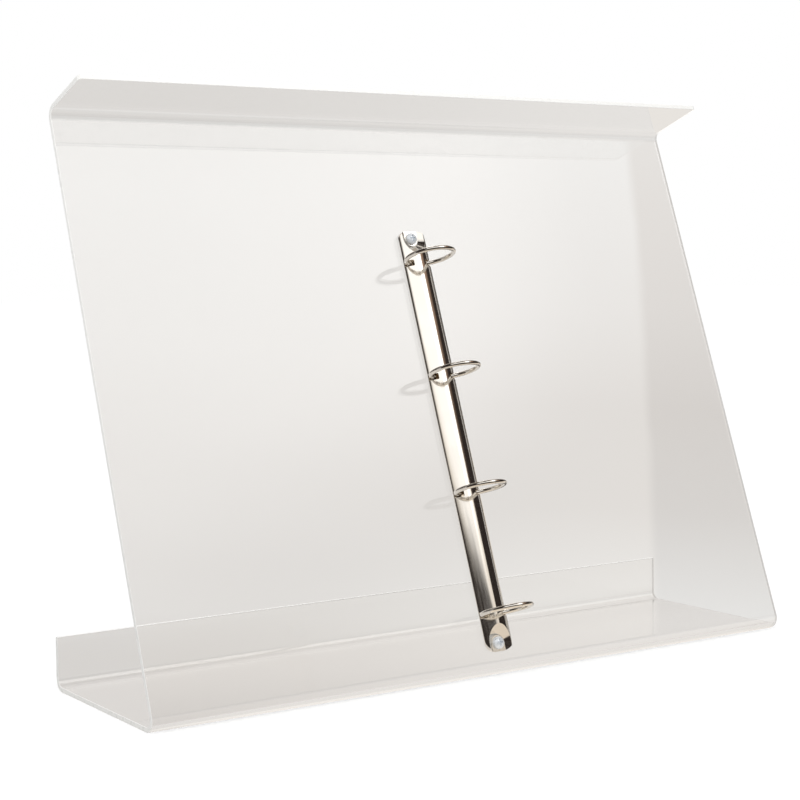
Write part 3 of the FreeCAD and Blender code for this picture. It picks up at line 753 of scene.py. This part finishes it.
def mirrored_floor(tree, place, path):
    """The floor in mirrors: beige in front, pale behind and by way of the sheet, and dark elsewhere as painted
    shade.
    """
    parts = add_node(tree, "SeparateXYZ", {"Vector": place}).outputs
    reach = add_node(tree, "VectorMath", {0: place}, operation="LENGTH").outputs["Value"]
    beside = product(
        tree,
        comes(tree, parts["X"], BESIDE_ACROSS),
        goes(tree, reach, BESIDE_REACH),
        comes(tree, parts["Y"], BESIDE_DEPTH),
    )
    elsewhere = opposite(tree, beside)
    front = product(
        tree, comes(tree, parts["Y"], FRONT_DEPTH), comes(tree, parts["X"], FRONT_ACROSS), elsewhere
    )
    close = product(tree, seen_through(tree, path), goes(tree, reach, CLOSE_REACH), elsewhere)
    pale = calculate(tree, "MAXIMUM", close, rear_window(tree, turn_of(tree, parts)))
    # Painted shade: the floor in mirrors is dark outside the beige front.
    colour = blend_colour(tree, front, PAINTED_SHADE_FLOOR, BEIGE_FLOOR)
    return brighten_deep(tree, path, blend_colour(tree, pale, colour, PALE_FLOOR))


def make_pale_floor():
    """White with a soft shadow to the eye, open to the room through the sheet, and toned in mirrors."""
    material, tree, output, place = new_material("pale_floor")
    path = add_node(tree, "LightPath").outputs
    paper = blend_colour(tree, cloud(tree, place, **PAPER_CLOUD), PAPER_DARK, PAPER_PALE)
    matt = add_node(tree, "BsdfDiffuse", {"Color": paper})
    white = add_node(tree, "Emission", {"Color": (*WHITE, 1.0), "Strength": FLOOR_GLOW})
    room = add_node(tree, "BsdfTransparent")
    toned = add_node(tree, "Emission", {"Color": mirrored_floor(tree, place, path), "Strength": 1.0})
    seen = mix_shaders(tree, product(tree, path["Is Camera Ray"], FLOOR_GLOW_SHARE), matt, white)
    open_view = mix_shaders(tree, path["Is Transmission Ray"], seen, room)
    mix = mix_shaders(tree, in_mirror(tree, path), open_view, toned)
    tree.links.new(mix.outputs[0], output.inputs["Surface"])
    return material


def make_floor(stage):
    """A plain pale floor, a hair below the base."""
    half = stage.floor_side / 2
    low = HOLDER_LOW.z - stage.floor_gap
    mesh = bpy.data.meshes.new("floor")
    corners = [(-half, -half, low), (half, -half, low), (half, half, low), (-half, half, low)]
    mesh.from_pydata(corners, [], [(0, 1, 2, 3)])
    floor = bpy.data.objects.new("floor", mesh)
    bpy.context.scene.collection.objects.link(floor)
    mesh.materials.append(make_pale_floor())


def place_softbox(stage):
    """A large soft lamp above and in front, for the floor's shadow and the pale edges."""
    data = bpy.data.lights.new("softbox", "AREA")
    data.energy = stage.softbox_power
    data.size = stage.softbox_side
    lamp = bpy.data.objects.new("softbox", data)
    lamp.location = stage.softbox_place
    aim = (HOLDER_LOW + HOLDER_HIGH) / 2 - Vector(stage.softbox_place)
    lamp.rotation_euler = aim.to_track_quat("-Z", "Y").to_euler()
    lamp.visible_glossy = False
    lamp.visible_transmission = False
    bpy.context.scene.collection.objects.link(lamp)


def place_camera(stage):
    """The photograph's camera, from its turn to the right, tilt down and roll."""
    turn, tilt, roll = stage.camera_turn
    ahead = Vector((math.sin(turn) * math.cos(tilt), math.cos(turn) * math.cos(tilt), -math.sin(tilt)))
    level = Vector((math.cos(turn), -math.sin(turn), 0.0))
    upright = level.cross(ahead)
    right = math.cos(roll) * level + math.sin(roll) * upright
    up = math.cos(roll) * upright - math.sin(roll) * level
    data = bpy.data.cameras.new("camera")
    data.lens = stage.lens
    data.sensor_width = SENSOR_WIDTH
    data.shift_y = stage.shift_up
    data.clip_end = CLIP_END
    camera = bpy.data.objects.new("camera", data)
    turned = Matrix((right, up, -ahead)).transposed().to_4x4()
    camera.matrix_world = Matrix.Translation(stage.camera_place) @ turned
    bpy.context.scene.collection.objects.link(camera)
    bpy.context.scene.camera = camera


class HOLDER_OT_stage(bpy.types.Operator):
    """Sets up the floor, the light and the camera"""

    bl_idname = "holder.stage"
    bl_label = "Set Up Stage"

    def execute(self, context):
        stage = context.scene.holder_stage
        cycles = context.scene.cycles
        context.scene.view_settings.view_transform = "Standard"
        cycles.max_bounces = BOUNCES
        cycles.transmission_bounces = BOUNCES
        cycles.glossy_bounces = BOUNCES
        cycles.use_fast_gi = True
        cycles.fast_gi_method = "REPLACE"
        cycles.ao_bounces_render = SOFT_LIGHT_BOUNCES
        place_camera(stage)
        make_floor(stage)
        place_softbox(stage)
        light_world()
        return {"FINISHED"}


# Add-on


class HOLDER_PT_panel(bpy.types.Panel):
    """Lists the steps that finish the holder"""

    bl_label = "Document Holder"
    bl_idname = "HOLDER_PT_panel"
    bl_space_type = "VIEW_3D"
    bl_region_type = "UI"
    bl_category = "Holder"

    def draw(self, context):
        for step in STEPS:
            self.layout.operator(step.bl_idname)


SETTINGS = {
    "holder_acrylic": AcrylicSettings,
    "holder_plating": PlatingSettings,
    "holder_stage": StageSettings,
}
STEPS = (HOLDER_OT_stage, HOLDER_OT_acrylic, HOLDER_OT_mechanism, HOLDER_OT_fasteners)


def register():
    """Registers the settings, the steps and the panel."""
    for name, group in SETTINGS.items():
        bpy.utils.register_class(group)
        setattr(bpy.types.Scene, name, bpy.props.PointerProperty(type=group))
    for step in STEPS:
        bpy.utils.register_class(step)
    bpy.utils.register_class(HOLDER_PT_panel)


def unregister():
    """Takes the panel, the steps and the settings away again."""
    bpy.utils.unregister_class(HOLDER_PT_panel)
    for step in reversed(STEPS):
        bpy.utils.unregister_class(step)
    for name, group in SETTINGS.items():
        delattr(bpy.types.Scene, name)
        bpy.utils.unregister_class(group)


def main():
    """Runs every step."""
    register()
    bpy.ops.holder.stage()
    bpy.ops.holder.acrylic()
    bpy.ops.holder.mechanism()
    bpy.ops.holder.fasteners()


if __name__ == "__main__":
    main()
